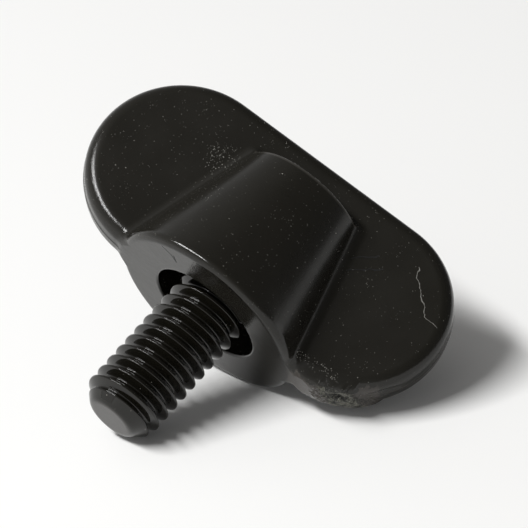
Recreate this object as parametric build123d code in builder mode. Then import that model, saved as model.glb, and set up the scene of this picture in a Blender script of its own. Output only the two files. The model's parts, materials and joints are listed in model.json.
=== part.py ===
"""Wing screw: a moulded wing head with a tapered hub, and the threaded stud that it is moulded round.

Sizes are in millimetres. The screw lies on the floor, z = 0, as it comes to rest: nose down, on the
thread's first crest and the hub's near rim, rolled over to its right. The wing runs downhill along X,
and the stud points to the front.
"""

import os
from math import asin, atan, atan2, cos, hypot, pi, radians, sin, tan

from build123d import *

os.makedirs("parts", exist_ok=True)

# Wing: a flat grip with round ends, parted along its mid-plane
wing_length = 29.4
wing_width = 14.0
wing_thickness = 3.35
wing_draft = 2.0  # degrees, each way from the parting plane
wing_edge_radius = 1.05

# Hub: a cone about the stud's axis that bulges from both faces of the wing
hub_near_radius = 7.65
hub_far_radius = 4.95
hub_proud = 0.1  # how far its near face stands out of the wing's near side
hub_setback = 2.9  # how far its far face stops short of the wing's far side
hub_near_edge_radius = 0.5
foot_radius = 0.7  # where the hub grows out of the wing

# Recess: the round pocket in the near face that the stud stands in
recess_radius = 4.2
recess_depth = 3.5
recess_mouth_bevel = 0.15

# Stud: an M6 screw, solid out to its major diameter, because the thread is a surface detail
stud_diameter = 5.8
stud_reach = 10.4  # from the hub's near face to the tip
tip_flat_radius = 1.8
tip_angle = 45.0  # degrees between the tip's cone and the axis

# Anchor: the stud's hidden end, an unthreaded grip, a groove and a hexagon that lock it in the head
grip_diameter = 5.3
groove_depth = 0.5
groove_length = 1.2
anchor_across_flats = 7.0
anchor_length = 3.0
anchor_cover = 1.5  # from the anchor's end to the hub's far face

# Rest: how far it has rolled over, as a share of the roll that brings the wing's end to the floor
roll_share = 0.83

# Places along the stud's axis, from the middle of the wing, positive away from the tip
near_face = -wing_width / 2 - hub_proud
far_face = wing_width / 2 - hub_setback
recess_floor = near_face + recess_depth
stud_radius = stud_diameter / 2
grip_radius = grip_diameter / 2
tip = near_face - stud_reach
thread_start = tip + (stud_radius - tip_flat_radius) / tan(radians(tip_angle))
anchor_start = far_face - anchor_cover - anchor_length
groove_start = anchor_start - groove_length

# Rounded edges that touch the floor, by the centres that their roundings turn about
hub_slope = (hub_near_radius - hub_far_radius) / (far_face - near_face)
rim_centre = near_face + hub_near_edge_radius
rim_radius = hub_near_radius - hub_near_edge_radius * (hub_slope + 1 / cos(atan(hub_slope)))
edge_height = wing_thickness / 2 - wing_edge_radius
end_radius = (
    wing_width / 2 - edge_height * tan(radians(wing_draft)) - wing_edge_radius / cos(radians(wing_draft))
)

# Rest: the axis dips to the tip, until the thread's first crest and the hub's near rim touch the floor
run, rise = rim_centre - thread_start, rim_radius - stud_radius
dip = atan2(rise, run) + asin(hub_near_edge_radius / hypot(run, rise))
axis_height = stud_radius * cos(dip) - thread_start * sin(dip)


def wing_reach(across, along, through):
    """How far the wing reaches from its middle, in a direction given along its own x, y and z."""
    straight = (wing_length - wing_width) / 2
    round_end = end_radius * hypot(across, along) + wing_edge_radius
    return straight * abs(across) + round_end + edge_height * abs(through)


# Nothing hinders its roll about the axis, up to the one that brings the wing's right end to the floor
full_roll, step = 0.0, pi / 4
while step > 1e-9:
    tried = full_roll + step
    if wing_reach(cos(dip) * sin(tried), sin(dip), cos(dip) * cos(tried)) < axis_height:
        full_roll = tried
    step /= 2
roll = roll_share * full_roll
wing_slope = asin(cos(dip) * sin(roll))  # of the wing's length, down to the right
facing = cos(dip) * cos(roll)  # how squarely the wing's upper face looks up

# The wing's parting plane: x along the wing, y along the stud's axis, midway between front and back
forward, leaning = facing / cos(wing_slope), sin(dip) / cos(wing_slope)
front_reach = tip_flat_radius * leaning - tip * forward
back_reach = wing_reach(0, forward, leaning)
parting = Plane(
    origin=(0, (front_reach - back_reach) / 2, axis_height),
    x_dir=(cos(wing_slope), 0, -sin(wing_slope)),
    z_dir=(tan(wing_slope) * facing, -leaning, facing),
)
stud_axis = Axis(parting.origin, parting.y_dir)
wing_axis = Axis(parting.origin, parting.z_dir)
# Upright along the axis: x is the radius, straight out of the wing's face, and y runs along the axis
section = Plane(parting.origin, x_dir=parting.z_dir, z_dir=-parting.x_dir)
# Square to the axis, at the hub's near face and where the anchor starts
near_plane = Plane(parting.from_local_coords((0, near_face, 0)), parting.x_dir, parting.y_dir)
anchor_plane = Plane(parting.from_local_coords((0, anchor_start, 0)), parting.x_dir, parting.y_dir)


with BuildPart() as threaded_stud:
    # Thread's cylinder, with its pointed tip, down to the recess floor, then the grip and its groove
    with BuildSketch(section) as stud_profile:
        with BuildLine():
            Polyline(
                (0, tip),
                (tip_flat_radius, tip),
                (stud_radius, thread_start),
                (stud_radius, recess_floor),
                (grip_radius, recess_floor),
                (grip_radius, groove_start),
                (grip_radius - groove_depth, groove_start),
                (grip_radius - groove_depth, anchor_start),
                (0, anchor_start),
                close=True,
            )
        make_face()
    revolve(axis=stud_axis)
    # Hexagon, which can neither turn nor pull out
    with BuildSketch(anchor_plane) as anchor_outline:
        RegularPolygon(anchor_across_flats / 2, 6, major_radius=False)
    extrude(amount=anchor_length)

threaded_stud.part.label = "threaded_stud"
export_step(threaded_stud.part, "parts/threaded_stud.step")


with BuildPart() as wing_head:
    # Wing, drawn in from the parting line to each face, with the edges of both faces rounded over
    with BuildSketch(parting) as upper_outline:
        SlotOverall(wing_length, wing_width)
    extrude(amount=wing_thickness / 2, taper=wing_draft)
    with BuildSketch(parting) as lower_outline:
        SlotOverall(wing_length, wing_width)
    extrude(amount=-wing_thickness / 2, taper=wing_draft)
    wing_faces = wing_head.faces().sort_by(wing_axis)
    fillet(wing_faces[0].edges() + wing_faces[-1].edges(), wing_edge_radius)

    # Hub, run on past its near face so that its foot blends in all round, then cut to length
    run_on = hub_near_radius / 2
    with BuildSketch(section) as hub_profile:
        with BuildLine():
            Polyline(
                (0, near_face - run_on),
                (hub_near_radius + hub_slope * run_on, near_face - run_on),
                (hub_far_radius, far_face),
                (0, far_face),
                close=True,
            )
        make_face()
    revolve(axis=stud_axis)
    fillet(wing_head.edges(Select.NEW), foot_radius)
    split(bisect_by=near_plane)
    near_rim = wing_head.faces().sort_by(stud_axis)[0].edges().filter_by(GeomType.CIRCLE)
    fillet(near_rim, hub_near_edge_radius)

    # Recess round the stud, with a bevelled mouth
    with BuildSketch(section) as recess_profile:
        with BuildLine():
            Polyline(
                (0, near_face),
                (recess_radius + recess_mouth_bevel, near_face),
                (recess_radius, near_face + recess_mouth_bevel),
                (recess_radius, recess_floor),
                (0, recess_floor),
                close=True,
            )
        make_face()
    revolve(axis=stud_axis, mode=Mode.SUBTRACT)

    # The head is moulded round the stud, so it takes the stud's own shape inside
    add(threaded_stud.part, mode=Mode.SUBTRACT)

wing_head.part.label = "wing_head"
export_step(wing_head.part, "parts/wing_head.step")
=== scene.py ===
import itertools
import json
import math

import bpy
import numpy as np
from mathutils import Matrix, Vector


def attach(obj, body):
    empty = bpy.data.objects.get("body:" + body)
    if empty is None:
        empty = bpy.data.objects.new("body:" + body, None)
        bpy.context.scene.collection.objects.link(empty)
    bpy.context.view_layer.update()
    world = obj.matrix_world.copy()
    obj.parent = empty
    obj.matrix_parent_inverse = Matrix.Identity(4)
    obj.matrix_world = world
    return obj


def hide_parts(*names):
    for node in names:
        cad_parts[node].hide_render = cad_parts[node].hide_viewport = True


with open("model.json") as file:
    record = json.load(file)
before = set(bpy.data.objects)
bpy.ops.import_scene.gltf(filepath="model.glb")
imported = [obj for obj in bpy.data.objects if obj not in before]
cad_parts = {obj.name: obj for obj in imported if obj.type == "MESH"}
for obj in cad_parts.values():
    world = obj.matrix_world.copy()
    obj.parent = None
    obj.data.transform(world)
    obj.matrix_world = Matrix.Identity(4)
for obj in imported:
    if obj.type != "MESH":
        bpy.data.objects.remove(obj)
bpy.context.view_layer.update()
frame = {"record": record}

# Sizes that the solids have
WING_LENGTH, WING_WIDTH, WING_THICKNESS = 29.4, 14.0, 3.35
WING_DRAFT = math.radians(2.0)
WING_EDGE = 1.05
HUB_NEAR, HUB_FAR = 7.65, 4.95
NEAR_FACE, FAR_FACE = -7.1, 4.1
HUB_NEAR_EDGE, FOOT = 0.5, 0.7
RECESS, RECESS_FLOOR = 4.2, -3.6
STUD, TIP, TIP_FLAT = 2.9, -17.5, 1.8
GRIP, GROOVE, GROOVE_START = 2.65, 2.15, -1.6
ANCHOR_START, ANCHOR_END, ANCHOR_FLATS = -0.4, 2.6, 7.0

# Sizes of the details that only this script has; the recess's rim is a plain bevel in the solids
HUB_FAR_EDGE, RECESS_RIM, RECESS_CORNER = 0.2, 0.15, 0.3
PARTING_RIDGE, PARTING_WIDTH = 0.035, 0.045
HIDDEN_GAP = 0.01
PITCH, ROOT = 1.0, 2.29
FLANK_SLOPE = 1.732
CREST_ROUND, ROOT_ROUND, POINT_ROUND, TIP_ROUND = 0.03, 0.16, 0.3, 0.7
THREAD_FADE = 0.45
TIP_HOLLOW = ((0.3, 0.03), (0.7, 0.025), (1.1, 0.012), (1.4, 0.0))  # radius and depth

# Marks on the head, as lines through points
TOP = WING_THICKNESS / 2
HAIRLINE = (
    (9.7, 4.6, TOP),
    (10.1, 3.85, TOP),
    (11.2, 3.0, TOP),
    (12.4, 1.8, TOP),
    (13.2, 1.8, TOP),
    (14.4, 1.45, TOP),
)
FOOT_CUTS = (
    ((5.5, 2.0, TOP), (7.0, 3.45, TOP)),
    ((6.0, 1.25, TOP), (7.9, 2.8, TOP)),
)
FACE_CUTS = (
    ((-4.0, NEAR_FACE, 5.6), (-3.2, NEAR_FACE, 5.35), (-2.7, NEAR_FACE, 4.75)),
    ((-2.7, NEAR_FACE, 4.75), (-2.95, NEAR_FACE, 5.4)),
)
DUST_STREAK = ((7.4, -5.9, TOP), (8.6, -5.95, TOP), (10.4, -5.7, TOP))
DUST_CLUSTER = (-6.3, 2.3, TOP)
GATE_SIDE = -4.2  # the scar's colours stop at this place along the axis

# Colours, each as written to a shader
MOULDING = ((0.0108, 0.0101, 0.0080, 1), (0.0150, 0.0140, 0.0112, 1))
SCAR_FACE = (0.042, 0.037, 0.032, 1)
# The first is painted shade for the hollows of the scar's torn middle; the others are its lumps and its pale
# crumbs
SCAR_HOLLOW_SHADE, SCAR_LUMP, SCAR_CRUMB = (0.006, 0.006, 0.004, 1), (0.085, 0.083, 0.068, 1), (0.22, 0.22, 0.18, 1)
# Painted highlight: a paler colour for the hub's far edge, standing in for the light its rounding catches
FAR_EDGE_PAINTED_HIGHLIGHT = (0.07, 0.066, 0.058, 1)
CUT_DIRT = (0.002, 0.002, 0.002, 1)
DUST = (0.42, 0.41, 0.37, 1)
STEEL = ((0.005, 0.0045, 0.0032, 1), (0.0075, 0.0068, 0.0048, 1))
STEEL_END = (0.02, 0.017, 0.014, 1)
STEEL_SPECK = (0.2, 0.19, 0.17, 1)
FLOOR = ((0.94, 0.94, 0.93, 1), (0.96, 0.96, 0.95, 1))

# The view, matched to the photo, in the wing's frame
CAMERA_TARGET = (0.648, -1.230, -0.646)
CAMERA_FORWARD, CAMERA_UP = (-0.23297, 0.35314, -0.90610), (-0.58035, 0.69715, 0.42092)
CAMERA_DISTANCE = 0.451478
CAMERA_LENS, CAMERA_SENSOR = 439.6, 36.0

KEY_AIM = (0, 0, 0.008)  # metres


# ---------------------------------------------------------------- the wing's frame
def wing_frame():
    """The wing's frame in the row frame, from the stud's axis and the clamping face."""
    mounts = {m["name"]: m for m in frame["record"]["mounts"]}
    stud, face = mounts["stud"], mounts["clamping_face"]
    y = -Vector(stud["axis"]).normalized()
    middle = Vector(stud["pos_m"]) - y * (TIP + STUD - TIP_FLAT + RECESS_FLOOR) / 2000
    z = Vector(face["pos_m"]) - middle - y * NEAR_FACE / 1000
    z = (z - y * z.dot(y)).normalized()
    x = y.cross(z)
    return Matrix.Translation(middle) @ Matrix((x, y, z)).transposed().to_4x4()


WING = wing_frame()


def place(*point):
    """A point of the wing's frame, in millimetres, as a point of the scene."""
    return WING @ (Vector(point) / 1000)


def aim(*direction):
    """A direction of the wing's frame, as one of the scene."""
    return (WING.to_3x3() @ Vector(direction)).normalized()


# ---------------------------------------------------------------- fields, in millimetres
def round_union(a, b, r):
    """Two solids joined with a blend of radius r between them."""
    return np.maximum(r, np.minimum(a, b)) - np.hypot(np.maximum(r - a, 0), np.maximum(r - b, 0))


def round_meet(a, b, r, lean=0.0):
    """What two solids share, with new edges of radius r; lean is the cosine between their normals."""
    p, q = a + r, b + r
    corner = (p > lean * q) & (q > lean * p)
    arc = np.sqrt(np.maximum(p * p + q * q - 2 * lean * p * q, 0) / (1 - lean * lean)) - r
    return np.where(corner, arc, np.maximum(a, b))


def lattice_noise(x, y, z, size, seed):
    """Smooth noise from -1 to 1, with cells of that size."""
    repeat = 16
    table = np.random.default_rng(seed).random((repeat, repeat, repeat)) * 2 - 1
    cell, part = [], []
    for v in (x, y, z):
        low = np.floor(v / size)
        f = v / size - low
        cell.append(low.astype(np.int64) % repeat)
        part.append(f * f * (3 - 2 * f))
    total = 0.0
    for corner in itertools.product((0, 1), repeat=3):
        weight = 1.0
        for c, f in zip(corner, part):
            weight = weight * (f if c else 1 - f)
        index = [(i + c) % repeat for i, c in zip(cell, corner)]
        total = total + weight * table[index[0], index[1], index[2]]
    return total


def smooth_step(v, low, high):
    """0 below low, 1 above high and smooth between."""
    t = np.clip((v - low) / (high - low), 0, 1)
    return t * t * (3 - 2 * t)


def smooth_max(a, b, k):
    """The greater of two values, blended where they are within k of each other."""
    h = np.maximum(k - np.abs(a - b), 0)
    return np.maximum(a, b) + h * h / (4 * k)


def dimple(x, z, x_middle, z_middle, x_spread, z_spread):
    """1 at the middle of a soft round hollow, falling to 0 round it."""
    return np.exp(-((x - x_middle) ** 2 / x_spread + (z - z_middle) ** 2 / z_spread))


def gate_scar(x, z):
    """How far the stub of the broken-off gate stands out of the wing's near side, beside the hub."""
    # The stub rises beside the hub, stands out most at x 12.5 and sinks where the wing's end turns away
    height = 0.36 * smooth_step(x, 7.0, 8.9) * (1 - smooth_step(x, 12.3, 14.2))
    height = height * (0.85 + 0.3 * smooth_step(x, 9.0, 12.5))
    upper_rim = 1.5 - 2.0 * np.maximum(x - 11.9, 0)
    across = smooth_step(z, -2.0, -1.7) * (1 - smooth_step(z, upper_rim - 0.25, upper_rim + 0.15))
    # Its middle is torn, with a pit, and there is a dent past its end
    torn = smooth_step(x, 9.2, 9.8) * (1 - smooth_step(x, 12.4, 13.0)) * smooth_step(z, -1.2, -0.5)
    rough = 0.6 * lattice_noise(x, x * 0, z, 0.42, 3) + 0.45 * lattice_noise(x, x * 0, z, 0.2, 4)
    pit = dimple(x, z, 11.1, 0.5, 0.35, 0.12)
    dent = dimple(x, z, 13.4, 0.45, 0.18, 0.1)
    return across * (height + torn * (0.16 * rough - 0.04 - 0.3 * pit)) - 0.16 * dent


def wing_field(x, y, z):
    """Less than 0 inside the wing."""
    beyond = np.maximum(np.abs(x) - (WING_LENGTH - WING_WIDTH) / 2, 0)
    side = np.hypot(beyond, y) - WING_WIDTH / 2
    wall = (side + np.abs(z) * math.tan(WING_DRAFT)) * math.cos(WING_DRAFT)
    wall = wall + PARTING_RIDGE - PARTING_RIDGE * np.exp(-((z / PARTING_WIDTH) ** 2))
    by_gate = (y < 0) & (np.abs(z) < 2) & (x > 6.8)
    if np.any(by_gate):
        wall = wall - np.where(by_gate, gate_scar(x, z), 0)
    return round_meet(wall, np.abs(z) - WING_THICKNESS / 2, WING_EDGE, math.sin(WING_DRAFT))


def hub_field(y, radius):
    """Less than 0 inside the cone-shaped hub."""
    slope = (HUB_NEAR - HUB_FAR) / (FAR_FACE - NEAR_FACE)
    cone = (radius - HUB_NEAR + slope * (y - NEAR_FACE)) / math.hypot(1, slope)
    lean = slope / math.hypot(1, slope)
    hub = round_meet(cone, NEAR_FACE - y, HUB_NEAR_EDGE, -lean)
    return round_meet(hub, y - FAR_FACE, HUB_FAR_EDGE, lean)


def stud_hole(x, y, z, radius):
    """Less than 0 in the hole that the moulding leaves round the stud's hidden end."""
    grip = np.maximum(radius - GRIP, y - GROOVE_START)
    groove = np.maximum(radius - GROOVE, y - ANCHOR_START)
    tall = z * math.cos(math.radians(30))
    flats = np.maximum(np.abs(x), np.maximum(np.abs(x / 2 + tall), np.abs(x / 2 - tall)))
    anchor = np.maximum(flats - ANCHOR_FLATS / 2, np.maximum(ANCHOR_START - y, y - ANCHOR_END))
    return np.minimum(grip, np.minimum(groove, anchor)) - HIDDEN_GAP


def head_field(x, y, z):
    """Less than 0 inside the moulded head."""
    radius = np.hypot(x, z)
    body = round_union(wing_field(x, y, z), hub_field(y, radius), FOOT)
    body = np.maximum(body, NEAR_FACE - y)
    recess = round_meet(radius - RECESS, y - RECESS_FLOOR, RECESS_CORNER)
    body = round_meet(body, -recess, RECESS_RIM)
    return np.maximum(body, -stud_hole(x, y, z, radius))


def slope_of(field, points, step=0.004):
    """The field's gradient at each point."""
    columns = []
    for i in range(3):
        shift = np.zeros(3)
        shift[i] = step
        columns.append((field(*(points + shift).T) - field(*(points - shift).T)) / (2 * step))
    return np.stack(columns, 1)


# ---------------------------------------------------------------- a mesh from a field
def spread(*runs):
    """Grid lines over several runs of (start, end, step)."""
    lines = [np.linspace(a, b, max(1, round((b - a) / s)), endpoint=False) for a, b, s in runs]
    return np.append(np.concatenate(lines), runs[-1][1])


def two_ends(axis):
    """Slices of a grid that leave out its last place and its first place along an axis."""
    low, high = [slice(None)] * 3, [slice(None)] * 3
    low[axis], high[axis] = slice(None, -1), slice(1, None)
    return low, high


def laid_along(axis, values):
    """The values laid out along one axis of a grid."""
    form = [1, 1, 1]
    form[axis] = -1
    return values.reshape(form)


def net_points(value, lines):
    """For each grid cell, how many of its edges the surface crosses, and the sum of the crossings."""
    shape = tuple(n - 1 for n in value.shape)
    total, count = np.zeros(shape + (3,)), np.zeros(shape)
    for axis in range(3):
        low, high = two_ends(axis)
        a, b = value[tuple(low)], value[tuple(high)]
        cut = (a < 0) != (b < 0)
        share = np.where(cut, a / np.where(cut, a - b, 1), 0)
        crossing = laid_along(axis, lines[axis][:-1]) + share * laid_along(axis, np.diff(lines[axis]))
        others = [i for i in range(3) if i != axis]
        for offset in itertools.product((0, 1), repeat=2):
            part = [slice(None)] * 3
            for i, o in zip(others, offset):
                part[i] = slice(o, o + shape[i])
            cut_here = cut[tuple(part)]
            count += cut_here
            total[..., axis] += np.where(cut_here, crossing[tuple(part)], 0)
            for i in others:
                total[..., i] += cut_here * laid_along(i, lines[i][part[i]])
    return total, count


def net_quads(inside, number):
    """A quad for each grid edge that the surface crosses, between the points of the cells round it."""
    quads = []
    for axis in range(3):
        u, v = (axis + 1) % 3, (axis + 2) % 3
        low, high = two_ends(axis)
        for end in (low, high):
            end[u] = end[v] = slice(1, -1)
        a, b = inside[tuple(low)], inside[tuple(high)]
        ring = []
        for du, dv in ((-1, -1), (0, -1), (0, 0), (-1, 0)):
            part = [slice(None)] * 3
            part[u] = slice(1 + du, number.shape[u] + du)
            part[v] = slice(1 + dv, number.shape[v] + dv)
            ring.append(number[tuple(part)])
        ring = np.stack(ring, -1)
        quads.append(ring[a & ~b])
        quads.append(ring[b & ~a][:, ::-1])
    return np.concatenate(quads)


def surface_net(field, *lines):
    """Points and quads on the field's zero surface, one point for each grid cell that it crosses."""
    value = field(*np.meshgrid(*lines, indexing="ij", sparse=True))
    total, count = net_points(value, lines)
    crossed = count > 0
    number = np.full(count.shape, -1)
    number[crossed] = np.arange(crossed.sum())
    return total[crossed] / count[crossed][:, None], net_quads(value < 0, number)


def settled(field, points, reach):
    """The points moved onto the field's zero surface, along its slope and no further than the reach."""
    start = points.copy()
    for _ in range(4):
        g = slope_of(field, points)
        size = np.maximum((g * g).sum(1), 0.05)
        points = points - g * (field(*points.T) / size)[:, None]
        points = start + np.clip(points - start, -reach, reach)
    return points


def build(name, points, faces, normals, material, node):
    """A mesh piece that rides on the root and replaces a node, from points in the wing's frame."""
    turn = np.array(WING.to_3x3())
    mesh = bpy.data.meshes.new(name)
    mesh.from_pydata((points / 1000 @ turn.T + np.array(WING.translation)).tolist(), [], faces)
    mesh.polygons.foreach_set("use_smooth", np.ones(len(mesh.polygons), bool))
    mesh.update()
    mesh.normals_split_custom_set_from_vertices((normals @ turn.T).tolist())
    mesh.materials.append(material)
    piece = bpy.data.objects.new(name, mesh)
    bpy.context.scene.collection.objects.link(piece)
    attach(piece, "root")
    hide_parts(node)


# ---------------------------------------------------------------- the head
def make_head(material):
    """The head, on a grid that is finer at the gate's scar, the near face and the parting line."""
    step = 0.168
    xs = spread((-15.0, 7.0, step), (7.0, 13.2, 0.55 * step), (13.2, 15.0, step))
    ys = spread((-7.5, -6.4, 0.5 * step), (-6.4, 7.4, step))
    zs = spread(
        (-8.0, -1.7, 0.85 * step),
        (-1.7, -0.2, 0.55 * step),
        (-0.2, 0.2, 0.22 * step),
        (0.2, 1.7, 0.55 * step),
        (1.7, 8.0, 0.85 * step),
    )
    points, quads = surface_net(head_field, xs, ys, zs)
    points = settled(head_field, points, 0.6 * step)
    normals = slope_of(head_field, points)
    normals /= np.maximum(np.linalg.norm(normals, axis=1), 1e-9)[:, None]
    build("wing_head_moulding", points, quads.tolist(), normals, material, "wing_head")


# ---------------------------------------------------------------- the stud
def tip_radius(y):
    """The point's radius: a 45 degree cone, rounded over to the flat end."""
    up = np.maximum(y - TIP, 0)
    arc = TIP_FLAT - TIP_ROUND * math.tan(math.pi / 8)
    arc = arc + np.sqrt(np.maximum(TIP_ROUND**2 - (TIP_ROUND - np.minimum(up, TIP_ROUND)) ** 2, 0))
    return np.where(up < TIP_ROUND * (1 - math.cos(math.pi / 4)), arc, TIP_FLAT + up)


def stud_radius(turn, y):
    """The thread's radius at a turn (0 to 1) and a place on the axis."""
    from_root = np.abs((y / PITCH - turn) % 1.0 - 0.5) * PITCH
    flank = (STUD + ROOT) / 2 + FLANK_SLOPE * (from_root - PITCH / 4)
    r = smooth_max(flank, ROOT, ROOT_ROUND)
    r = -smooth_max(-r, -STUD, CREST_ROUND)
    r = GRIP + (r - GRIP) * np.clip((RECESS_FLOOR - y) / THREAD_FADE, 0, 1)
    return -smooth_max(-r, -tip_radius(y), POINT_ROUND)


def thread_normals(turn, y, radius, out, forward):
    """Normals from the slope of the radius along the axis and round it."""
    e = 0.002
    rise = (stud_radius(turn, y + e) - stud_radius(turn, y - e)) / (2 * e)
    swell = (stud_radius(turn + e, y) - stud_radius(turn - e, y)) / (2 * e) / (2 * math.pi)
    normals = out - rise[..., None] * (0, 1, 0) - forward * (swell / radius)[..., None]
    return normals / np.linalg.norm(normals, axis=-1)[..., None]


def rows_of(turn, sizes):
    """The place and the radius at each turn, for each (place, radius) of the sizes."""
    places = np.array([np.full(len(turn), y) for y, _ in sizes])
    radii = np.array([np.broadcast_to(r, len(turn)) for _, r in sizes])
    return places, radii


def merged(points, normals, faces):
    """The mesh with points that coincide made one, and faces that this leaves without width taken out."""
    _, first, same = np.unique(np.round(points, 7), axis=0, return_index=True, return_inverse=True)
    same = same.reshape(-1)
    faces = [list(dict.fromkeys(int(same[v]) for v in face)) for face in faces]
    return points[first], normals[first], [face for face in faces if len(face) > 2]


def make_stud(material):
    """The stud, in rows round its axis: the tip's hollow, the thread, and the grip, groove and hexagon."""
    around = 160
    per_turn = 30
    turn = np.arange(around) / around

    # The thread's rows climb one pitch a turn, and stop at the tip and at the recess's floor
    thread_rows = per_turn + math.ceil((RECESS_FLOOR - TIP) / PITCH * per_turn) + 1
    starts = TIP + (np.arange(thread_rows) / per_turn - 1) * PITCH
    thread_places = np.clip(starts[:, None] + turn * PITCH, TIP, RECESS_FLOOR)
    thread_radii = stud_radius(turn, thread_places)

    hexagon = ANCHOR_FLATS / 2 / np.cos(np.radians((turn * 360) % 60 - 30))
    hidden = [(GROOVE_START, GRIP), (GROOVE_START, GROOVE), (ANCHOR_START, GROOVE)]
    hidden += [(ANCHOR_START, hexagon), (ANCHOR_END, hexagon)]
    tip_places, tip_radii = rows_of(turn, [(TIP + depth, r) for r, depth in TIP_HOLLOW])
    hidden_places, hidden_radii = rows_of(turn, hidden)
    places = np.concatenate([tip_places, thread_places, hidden_places])
    radii = np.concatenate([tip_radii, thread_radii, hidden_radii])

    first = len(TIP_HOLLOW)
    last = first + thread_rows - 1
    thread = slice(first, last + 1)
    angle = np.broadcast_to(turn * 2 * math.pi, radii.shape)
    out = np.stack([np.sin(angle), 0 * angle, np.cos(angle)], -1)
    forward = np.stack([np.cos(angle), 0 * angle, -np.sin(angle)], -1)
    points = np.stack([radii * np.sin(angle), places, radii * np.cos(angle)], -1)
    normals = out.copy()
    normals[:first] = (0, -1, 0)
    normals[thread] = thread_normals(turn, thread_places, thread_radii, out[thread], forward[thread])

    # After a full turn a row of the thread meets the row that is one pitch further on
    count = len(points)
    after = np.arange(count)
    after[thread] = np.minimum(after[thread] + per_turn, last)
    row, column = np.meshgrid(np.arange(count - 1), np.arange(around), indexing="ij")
    beside = (column + 1) % around
    low = np.where(beside == 0, after[row], row) * around + beside
    high = np.where(beside == 0, after[row + 1], row + 1) * around + beside
    quads = np.stack([low, high, (row + 1) * around + column, row * around + column], -1)
    ends = [range(around - 1, -1, -1), range((count - 1) * around, count * around)]
    faces = quads.reshape(-1, 4).tolist() + ends
    points, normals, faces = merged(points.reshape(-1, 3), normals.reshape(-1, 3), faces)
    build("stud_thread", points, faces, normals, material, "threaded_stud")


# ---------------------------------------------------------------- materials
class Nodes:
    """A node tree, with short ways to add to it."""

    def __init__(self, owner):
        owner.use_nodes = True
        self.tree = owner.node_tree
        self.tree.nodes.clear()

    def add(self, kind, **settings):
        node = self.tree.nodes.new(kind)
        for key, value in settings.items():
            setattr(node, key, value)
        return node

    def put(self, socket, value):
        if isinstance(value, bpy.types.NodeSocket):
            self.tree.links.new(value, socket)
        else:
            socket.default_value = value

    def math(self, operation, *values, clamp=False):
        node = self.add("ShaderNodeMath", operation=operation, use_clamp=clamp)
        for socket, value in zip(node.inputs, values):
            self.put(socket, value)
        return node.outputs[0]

    def several(self, operation, values):
        """An operation on two values, taken over all the values in turn."""
        result = values[0]
        for value in values[1:]:
            result = self.math(operation, result, value)
        return result

    def sum(self, *values):
        return self.several("ADD", values)

    def product(self, *values):
        return self.several("MULTIPLY", values)

    def greatest(self, *values):
        return self.several("MAXIMUM", values)

    def vector(self, operation, *values, out=0, scale=None):
        node = self.add("ShaderNodeVectorMath", operation=operation)
        for socket, value in zip(node.inputs, values):
            self.put(socket, value)
        if scale is not None:
            self.put(node.inputs["Scale"], scale)
        return node.outputs[out]

    def length(self, vector):
        return self.vector("LENGTH", vector, out=1)

    def split(self, vector):
        node = self.add("ShaderNodeSeparateXYZ")
        self.put(node.inputs[0], vector)
        return node.outputs

    def noise(self, at, scale, detail=3.0, roughness=0.5, out=0):
        node = self.add("ShaderNodeTexNoise")
        self.put(node.inputs["Vector"], at)
        node.inputs["Scale"].default_value = scale
        node.inputs["Detail"].default_value = detail
        node.inputs["Roughness"].default_value = roughness
        return node.outputs[out]

    def ramp(self, value, low, high, to_low=0.0, to_high=1.0):
        """A smooth step between two values."""
        node = self.add("ShaderNodeMapRange", interpolation_type="SMOOTHSTEP")
        for socket, v in zip(node.inputs, (value, low, high, to_low, to_high)):
            self.put(socket, v)
        return node.outputs[0]

    def within(self, value, low, high, soft):
        """1 where the value is between low and high, falling to 0 within soft of them."""
        return self.product(self.ramp(value, low - soft, low), self.ramp(value, high, high + soft, 1.0, 0.0))

    def mix(self, share, a, b):
        """Two colours mixed: the node's last two inputs and its last output are those for colours."""
        node = self.add("ShaderNodeMix", data_type="RGBA")
        self.put(node.inputs["Factor"], share)
        self.put(node.inputs[6], a)
        self.put(node.inputs[7], b)
        return node.outputs[2]

    def scratch(self, at, points, width):
        """1 on a thin line through the points, 0 off it."""
        gaps = []
        for a, b in zip(points, points[1:]):
            run = Vector(b) - Vector(a)
            off = self.vector("SUBTRACT", at, a)
            along = self.vector("DOT_PRODUCT", off, run, out=1)
            share = self.math("DIVIDE", along, run.length_squared, clamp=True)
            gaps.append(self.length(self.vector("SUBTRACT", off, self.vector("SCALE", run, scale=share))))
        return self.ramp(self.several("MINIMUM", gaps), width * 0.4, width, 1.0, 0.0)

    def specks(self, at, scale, share, radius):
        """1 on small scattered specks: that share of the cells has one."""
        cells = self.add("ShaderNodeTexVoronoi", feature="F1")
        self.put(cells.inputs["Vector"], at)
        cells.inputs["Scale"].default_value = scale
        pick = self.add("ShaderNodeSeparateColor")
        self.put(pick.inputs[0], cells.outputs["Color"])
        size = self.product(pick.outputs[1], radius * scale)
        there = self.math("LESS_THAN", pick.outputs[0], share)
        spot = self.math("LESS_THAN", cells.outputs["Distance"], size)
        return self.product(there, spot)

    def bumped(self, height, strength):
        """The normal with a height in millimetres."""
        node = self.add("ShaderNodeBump")
        node.inputs["Strength"].default_value = strength
        node.inputs["Distance"].default_value = 0.001
        self.put(node.inputs["Height"], height)
        return node.outputs[0]

    def shader(self, colour, roughness, normal, ior):
        node = self.add("ShaderNodeBsdfPrincipled")
        self.put(node.inputs["Base Color"], colour)
        self.put(node.inputs["Roughness"], roughness)
        self.put(node.inputs["Normal"], normal)
        node.inputs["IOR"].default_value = ior
        self.to_output("ShaderNodeOutputMaterial", node.outputs[0])

    def to_output(self, kind, surface):
        self.put(self.add(kind).inputs[0], surface)


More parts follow.
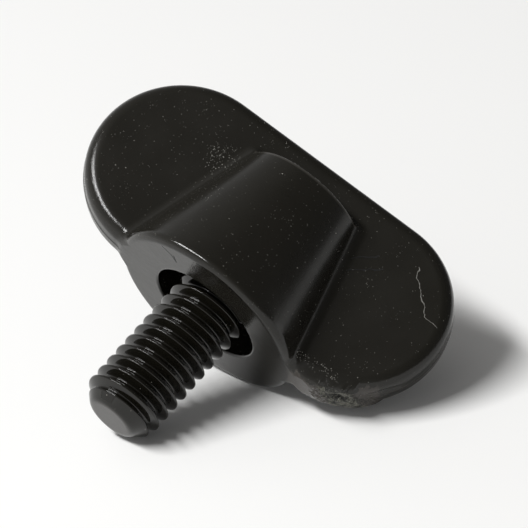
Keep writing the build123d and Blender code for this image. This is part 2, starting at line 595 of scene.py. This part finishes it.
def wing_millimetres(n):
    """The place on the surface in the wing's frame, in millimetres."""
    back = WING.inverted()
    node = n.add("ShaderNodeMapping", vector_type="POINT")
    n.put(node.inputs["Vector"], n.add("ShaderNodeTexCoord").outputs["Object"])
    n.put(node.inputs["Location"], back.translation * 1000)
    n.put(node.inputs["Rotation"], back.to_euler())
    n.put(node.inputs["Scale"], (1000.0, 1000.0, 1000.0))
    return node.outputs[0]


def wing_rim(n, x, y):
    """1 on the wing's rounded edge, 0 on its faces."""
    beyond = n.greatest(n.math("SUBTRACT", n.math("ABSOLUTE", x), (WING_LENGTH - WING_WIDTH) / 2), 0.0)
    reach = n.math("SQRT", n.sum(n.math("POWER", beyond, 2.0), n.math("POWER", y, 2.0)))
    return n.ramp(reach, WING_WIDTH / 2 - 1.1, WING_WIDTH / 2 - 0.5)


def head_dust(n, at):
    """Pale specks in patches, in a cluster on the wing's left and in a streak along its edge by the gate."""
    patches = n.ramp(n.noise(at, 0.45, 2.0), 0.42, 0.62, 0.25, 1.0)
    cluster = n.ramp(n.length(n.vector("SUBTRACT", at, DUST_CLUSTER)), 0.5, 1.7, 1.0, 0.0)
    streak = n.scratch(at, DUST_STREAK, 0.5)
    coarse = n.specks(at, 3.2, n.product(patches, 0.3), 0.04)
    fine = n.specks(at, 8.0, n.product(patches, 0.35), 0.032)
    crowded = n.specks(at, 9.5, n.product(n.greatest(cluster, streak), 0.9), 0.04)
    shade = n.ramp(n.noise(at, 6.0, 1.0), 0.35, 0.65, 0.15, 1.0)
    return n.product(n.greatest(coarse, n.product(fine, 0.45), n.product(crowded, 0.8)), shade)


def head_scratches(n, at):
    """The pale hairline on the right of the wing, and the dark cuts beside the hub and on the near face."""
    wobble = n.vector("SUBTRACT", n.noise(at, 1.6, 3.0, out=1), (0.5, 0.5, 0.5))
    bent = n.vector("ADD", at, n.vector("MULTIPLY", wobble, (0.5, 0.5, 0.0)))
    hairline = n.scratch(bent, HAIRLINE, 0.035)
    cuts = [n.scratch(bent, points, width) for points, width in zip(FOOT_CUTS, (0.07, 0.06))]
    cuts += [n.scratch(at, points, 0.07) for points in FACE_CUTS]
    return hairline, n.greatest(*cuts)


def gate_marks(n, at, x, y, z):
    """The scar's whole face, its torn middle, and the noise that gives it lumps and the painted shade in
    their hollows.
    """
    lumps = n.noise(at, 2.2, 4.0, 0.65)
    ragged = n.sum(z, n.product(n.math("SUBTRACT", lumps, 0.5), 1.6))
    side = n.ramp(y, GATE_SIDE - 0.2, GATE_SIDE + 0.2, 1.0, 0.0)
    face = n.product(n.within(x, 7.6, 13.6, 0.3), n.within(ragged, -1.6, 1.05, 0.15), side)
    slant = n.sum(x, n.product(ragged, 0.5))
    torn = n.product(n.within(slant, 10.4, 12.4, 0.2), side, n.within(ragged, -1.3, 1.1, 0.15))
    return face, torn, lumps


def head_material():
    """Black moulding, glossy on its edges, with the gate's scar, dust, scratches and fine grain, a painted
    highlight on the hub's far edge and painted shade in the hollows of the scar's torn middle.
    """
    material = bpy.data.materials.new("head_moulding")
    n = Nodes(material)
    at = wing_millimetres(n)
    x, y, z = n.split(at)
    across = n.add("ShaderNodeCombineXYZ")
    n.put(across.inputs[0], x)
    n.put(across.inputs[1], z)
    radius = n.length(across.outputs[0])
    cloud = n.noise(at, 0.35, 4.0)
    grain = n.noise(at, 5.0, 3.0, 0.7)
    crumbs = n.noise(at, 9.0, 3.0, 0.7)
    rim = wing_rim(n, x, y)
    worn = n.product(rim, n.ramp(x, -7.4, -6.6, 1.0, 0.0))
    hairline, cut = head_scratches(n, at)
    scar, torn, lumps = gate_marks(n, at, x, y, z)
    dust = n.greatest(head_dust(n, at), n.product(hairline, 0.35))
    near_face = n.ramp(y, NEAR_FACE + 0.05, NEAR_FACE + 0.1, 1.0, 0.0)
    near_ring = n.product(n.within(radius, 7.08, 7.16, 0.05), near_face, n.ramp(grain, 0.45, 0.55))
    # The hub's far edge is painted paler here, as a painted highlight
    far_edge = n.within(y, FAR_FACE - 0.2, FAR_FACE + 0.1, 0.1)
    far_highlight_ring = n.product(n.within(radius, HUB_FAR - 0.15, HUB_FAR, 0.1), far_edge)

    colour = n.mix(scar, n.mix(cloud, *MOULDING), SCAR_FACE)
    # The torn middle is painted dark where its bumps sink, as painted shade in the hollows, and paler on the
    # lumps
    torn_colour_and_shade = n.mix(n.ramp(lumps, 0.44, 0.56), SCAR_HOLLOW_SHADE, SCAR_LUMP)
    torn_colour_and_shade = n.mix(n.ramp(crumbs, 0.56, 0.66), torn_colour_and_shade, SCAR_CRUMB)
    colour = n.mix(torn, colour, torn_colour_and_shade)
    colour = n.mix(n.product(far_highlight_ring, 0.7), colour, FAR_EDGE_PAINTED_HIGHLIGHT)
    colour = n.mix(n.greatest(cut, near_ring), colour, CUT_DIRT)
    colour = n.mix(dust, colour, DUST)

    rough = n.sum(n.ramp(cloud, 0.3, 0.7, 0.2, 0.26), n.product(rim, -0.1))
    rough = n.math("ADD", rough, n.product(n.greatest(dust, cut, torn), 0.4), clamp=True)

    height = n.product(grain, n.sum(n.product(rim, 0.008), 0.006))
    height = n.sum(height, n.product(worn, crumbs, 0.02), n.product(cloud, 0.04))
    height = n.sum(height, n.product(torn, lumps, 0.25), n.product(n.greatest(cut, hairline), -0.015))
    n.shader(colour, rough, n.bumped(height, 0.7), 1.4)
    return material


def stud_material():
    """Dark glossy steel, duller on the tip's end, with a few specks."""
    material = bpy.data.materials.new("stud_steel")
    n = Nodes(material)
    at = wing_millimetres(n)
    cloud = n.noise(at, 0.6, 3.0)
    grain = n.noise(at, 9.0, 3.0, 0.6)
    end = n.ramp(n.split(at)[1], TIP + 0.02, TIP + 0.06, 1.0, 0.0)
    colour = n.mix(end, n.mix(cloud, *STEEL), STEEL_END)
    colour = n.mix(n.specks(at, 4.0, 0.12, 0.04), colour, STEEL_SPECK)
    rough = n.sum(n.ramp(cloud, 0.3, 0.7, 0.04, 0.07), n.product(end, 0.15))
    n.shader(colour, rough, n.bumped(n.product(grain, 0.0008), 0.6), 1.45)
    return material


def floor_material():
    """Pale and matt, the same to every ray, so that what mirrors it shows its shadow too."""
    material = bpy.data.materials.new("pale_floor")
    n = Nodes(material)
    tone = n.noise(n.add("ShaderNodeTexCoord").outputs["Object"], 8.0, 2.0)
    diffuse = n.add("ShaderNodeBsdfDiffuse")
    n.put(diffuse.inputs[0], n.mix(tone, *FLOOR))
    n.to_output("ShaderNodeOutputMaterial", diffuse.outputs[0])
    return material


# ---------------------------------------------------------------- stage, lights and camera
def make_floor():
    """A plain floor, flat at the frame's zero height."""
    mesh = bpy.data.meshes.new("floor")
    mesh.from_pydata([(-4, -4, 0), (4, -4, 0), (4, 4, 0), (-4, 4, 0)], [], [(0, 1, 2, 3)])
    mesh.materials.append(floor_material())
    floor = bpy.data.objects.new("floor", mesh)
    bpy.context.scene.collection.objects.link(floor)


def look(obj, direction, up):
    """Turn obj so that its -Z axis points in the direction, with +Y towards up."""
    z = -Vector(direction).normalized()
    x = Vector(up).cross(z).normalized()
    y = z.cross(x)
    obj.matrix_world = Matrix.Translation(obj.location) @ Matrix((x, y, z)).transposed().to_4x4()


def make_lamp(name, azimuth, elevation, distance, width, height, power):
    """A soft box that faces the part: azimuth from +X round to +Y, in degrees."""
    a, e = math.radians(azimuth), math.radians(elevation)
    out = Vector((math.cos(e) * math.cos(a), math.cos(e) * math.sin(a), math.sin(e)))
    light = bpy.data.lights.new(name, "AREA")
    light.shape = "RECTANGLE"
    light.size, light.size_y = width, height
    light.energy = power
    lamp = bpy.data.objects.new(name, light)
    bpy.context.scene.collection.objects.link(lamp)
    lamp.location = Vector(KEY_AIM) + out * distance
    look(lamp, -out, (0, 0, 1))


def make_world():
    """A soft studio: pale towards the horizon, dim overhead, and dimmer on the side away from the key."""
    world = bpy.data.worlds.new("studio")
    bpy.context.scene.world = world
    n = Nodes(world)
    at = n.add("ShaderNodeTexCoord").outputs["Generated"]
    sky = n.add("ShaderNodeValToRGB")
    n.put(sky.inputs[0], n.split(at)[2])
    stops = sky.color_ramp.elements
    stops[0].position, stops[0].color = 0.0, (1.0, 1.0, 1.0, 1)
    stops[1].position, stops[1].color = 1.0, (0.32, 0.31, 0.3, 1)
    for position, level in ((0.25, 0.65), (0.6, 0.36)):
        stops.new(position).color = (level, level, level, 1)
    towards_key = n.vector("DOT_PRODUCT", at, (-0.85, -0.53, 0.0), out=1)
    back = n.add("ShaderNodeBackground")
    n.put(back.inputs[0], sky.outputs[0])
    n.put(back.inputs[1], n.ramp(towards_key, -0.5, 0.5, 0.15, 1.0))
    n.to_output("ShaderNodeOutputWorld", back.outputs[0])


def make_camera():
    """The camera, at the photo's viewing angle."""
    data = bpy.data.cameras.new("camera")
    data.lens, data.sensor_width, data.clip_start = CAMERA_LENS, CAMERA_SENSOR, 0.01
    camera = bpy.data.objects.new("camera", data)
    bpy.context.scene.collection.objects.link(camera)
    forward = aim(*CAMERA_FORWARD)
    camera.location = place(*CAMERA_TARGET) - forward * CAMERA_DISTANCE
    look(camera, forward, aim(*CAMERA_UP))
    bpy.context.scene.camera = camera


make_head(head_material())
make_stud(stud_material())
make_floor()
make_world()
make_lamp("key", azimuth=-125.2, elevation=53.7, distance=0.6, width=0.413, height=0.085, power=3.8)
make_camera()
bpy.context.scene.view_settings.view_transform = "Standard"
